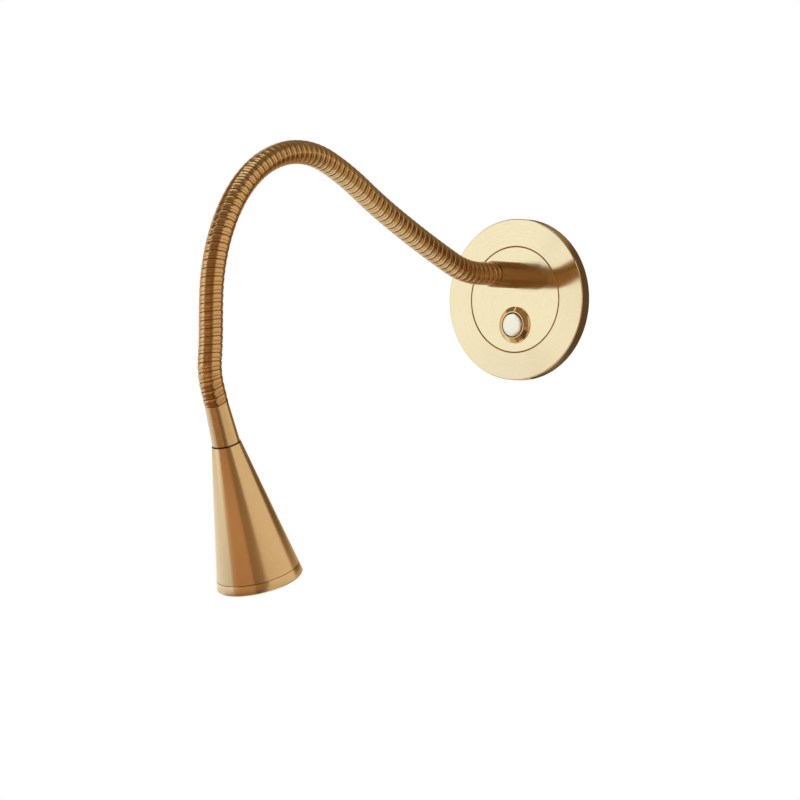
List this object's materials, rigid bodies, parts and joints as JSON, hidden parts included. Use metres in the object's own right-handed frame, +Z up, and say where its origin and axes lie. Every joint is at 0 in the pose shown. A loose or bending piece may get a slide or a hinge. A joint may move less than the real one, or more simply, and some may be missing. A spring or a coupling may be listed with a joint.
{
  "type": "wall reading lamp",
  "caption": "Round wall rose with a push switch, a ribbed gooseneck that stays where it is bent, and a small conical LED reading head.",
  "frame": {"origin": "centre of the wall bracket's back face, on the wall's surface, midway between the two screw slots", "axes": "+Y into the wall, so the lamp stands out along -Y; +Z up; +X to the right of someone who faces the lamp"},
  "size_m": [0.08, 0.2869, 0.2167],
  "materials": {
    "satin_brass": "fine satin brushing in rings, lacquered",
    "polished_brass": "polished and lacquered",
    "hose_brass": "aged brass plating on a ribbed metal hose",
    "head_brass": "satin brass, brushed round",
    "zinc_steel": "zinc plated",
    "nickel_steel": "nickel plated",
    "spring_steel": "bright spring wire",
    "black_plastic": "moulded, fine matt",
    "white_plastic": "moulded, fine matt",
    "contact_copper": "tinned copper alloy",
    "board_green": "solder mask over glass fibre",
    "board_white": "white solder mask over aluminium",
    "ferrite": "dark ferrite and tape",
    "can_sleeve": "shrink sleeve",
    "rubber_black": "soft black rubber",
    "lead_sheath": "smooth flexible sheath",
    "sink_aluminium": "turned",
    "reflector_aluminium": "bright satin inside",
    "frosted_lens": "frosted, lightly diffusing",
    "led_phosphor": "yellow phosphor"
  },
  "bodies": {
    "base": {"rose": "satin_brass", "face_disc": "satin_brass", "back_plate": "zinc_steel", "wall_bracket": "zinc_steel", "grub_screws": "nickel_steel", "collar": "head_brass", "collar_washer": "zinc_steel", "collar_nut": "nickel_steel", "switch_bezel": "polished_brass", "switch_washer": "zinc_steel", "switch_nut": "nickel_steel", "switch_body": "black_plastic", "switch_base": "black_plastic", "switch_terminals": "contact_copper", "button_spring": "spring_steel", "driver_cup": "black_plastic", "cup_screws": "nickel_steel", "driver_board": "board_green", "board_screws": "nickel_steel", "transformer": "ferrite", "capacitor": "can_sleeve", "terminal_block": "white_plastic", "cable_grommet": "rubber_black", "neck_link_01": "hose_brass", "lamp_lead_01": "lead_sheath"},
    "switch_button": {"button": "polished_brass", "contact_carrier": "white_plastic", "contact_bridge": "contact_copper"},
    "neck_02": {"neck_link_02": "hose_brass", "lamp_lead_02": "lead_sheath"},
    "neck_03": {"neck_link_03": "hose_brass", "lamp_lead_03": "lead_sheath"},
    "neck_04": {"neck_link_04": "hose_brass", "lamp_lead_04": "lead_sheath"},
    "neck_05": {"neck_link_05": "hose_brass", "lamp_lead_05": "lead_sheath"},
    "neck_06": {"neck_link_06": "hose_brass", "lamp_lead_06": "lead_sheath"},
    "neck_07": {"neck_link_07": "hose_brass", "lamp_lead_07": "lead_sheath"},
    "neck_08": {"neck_link_08": "hose_brass", "lamp_lead_08": "lead_sheath"},
    "neck_09": {"neck_link_09": "hose_brass", "lamp_lead_09": "lead_sheath"},
    "neck_10": {"neck_link_10": "hose_brass", "lamp_lead_10": "lead_sheath"},
    "neck_11": {"neck_link_11": "hose_brass", "lamp_lead_11": "lead_sheath"},
    "head": {"neck_link_12": "hose_brass", "lamp_lead_12": "lead_sheath", "head_ferrule": "head_brass", "shade": "head_brass", "rim_ring": "head_brass", "lens": "frosted_lens", "reflector": "reflector_aluminium", "led_board": "board_white", "led_chip": "led_phosphor", "heat_sink": "sink_aluminium"}
  },
  "joints": [
    {"name": "button_press", "type": "slide", "parent": "base", "child": "switch_button", "axis": [0, 1, 0], "range_m": [0, 0.0015], "stiffness_N_per_m": 1300, "springref_m": -0.0015, "deforming": ["button_spring"]},
    {"name": "neck_lift_01", "type": "hinge", "parent": "base", "child": "neck_02", "pos_m": [0, -0.05353, 0.01382], "axis": [-1, 0, 0], "range_deg": [-30, 25], "deforming": ["neck_link_01", "neck_link_02", "lamp_lead_01", "lamp_lead_02"]},
    {"name": "neck_swing_02", "type": "hinge", "parent": "neck_02", "child": "neck_03", "pos_m": [0, -0.07952, 0.02322], "axis": [0, 0.3706, 0.9288], "range_deg": [-20, 20], "deforming": ["neck_link_02", "neck_link_03", "lamp_lead_02", "lamp_lead_03"]},
    {"name": "neck_lift_03", "type": "hinge", "parent": "neck_03", "child": "neck_04", "pos_m": [0, -0.10506, 0.03387], "axis": [-1, 0, 0], "range_deg": [-20, 20], "deforming": ["neck_link_03", "neck_link_04", "lamp_lead_03", "lamp_lead_04"]},
    {"name": "neck_swing_04", "type": "hinge", "parent": "neck_04", "child": "neck_05", "pos_m": [0, -0.13012, 0.04558], "axis": [0, 0.4532, 0.8914], "range_deg": [-20, 20], "deforming": ["neck_link_04", "neck_link_05", "lamp_lead_04", "lamp_lead_05"]},
    {"name": "neck_lift_05", "type": "hinge", "parent": "neck_05", "child": "neck_06", "pos_m": [0, -0.15503, 0.05759], "axis": [-1, 0, 0], "range_deg": [-15, 25], "deforming": ["neck_link_05", "neck_link_06", "lamp_lead_05", "lamp_lead_06"]},
    {"name": "neck_swing_06", "type": "hinge", "parent": "neck_06", "child": "neck_07", "pos_m": [0, -0.18162, 0.06474], "axis": [0, 0.0752, 0.9972], "range_deg": [-20, 20], "deforming": ["neck_link_06", "neck_link_07", "lamp_lead_06", "lamp_lead_07"]},
    {"name": "neck_lift_07", "type": "hinge", "parent": "neck_07", "child": "neck_08", "pos_m": [0, -0.20887, 0.06122], "axis": [-1, 0, 0], "range_deg": [-12, 47], "deforming": ["neck_link_07", "neck_link_08", "lamp_lead_07", "lamp_lead_08"]},
    {"name": "neck_swing_08", "type": "hinge", "parent": "neck_08", "child": "neck_09", "pos_m": [0, -0.23249, 0.04719], "axis": [0, -0.674, 0.7387], "range_deg": [-20, 20], "deforming": ["neck_link_08", "neck_link_09", "lamp_lead_08", "lamp_lead_09"]},
    {"name": "neck_lift_09", "type": "hinge", "parent": "neck_09", "child": "neck_10", "pos_m": [0, -0.24893, 0.02513], "axis": [-1, 0, 0], "range_deg": [-15, 43], "deforming": ["neck_link_09", "neck_link_10", "lamp_lead_09", "lamp_lead_10"]},
    {"name": "neck_swing_10", "type": "hinge", "parent": "neck_10", "child": "neck_11", "pos_m": [0, -0.25646, -0.00133], "axis": [0, -0.9954, 0.0958], "range_deg": [-20, 20], "deforming": ["neck_link_10", "neck_link_11", "lamp_lead_10", "lamp_lead_11"]},
    {"name": "neck_lift_11", "type": "hinge", "parent": "neck_11", "child": "head", "pos_m": [0, -0.2573, -0.02898], "axis": [-1, 0, 0], "range_deg": [-20, 28], "deforming": ["neck_link_11", "neck_link_12", "lamp_lead_11", "lamp_lead_12"]}
  ]
}
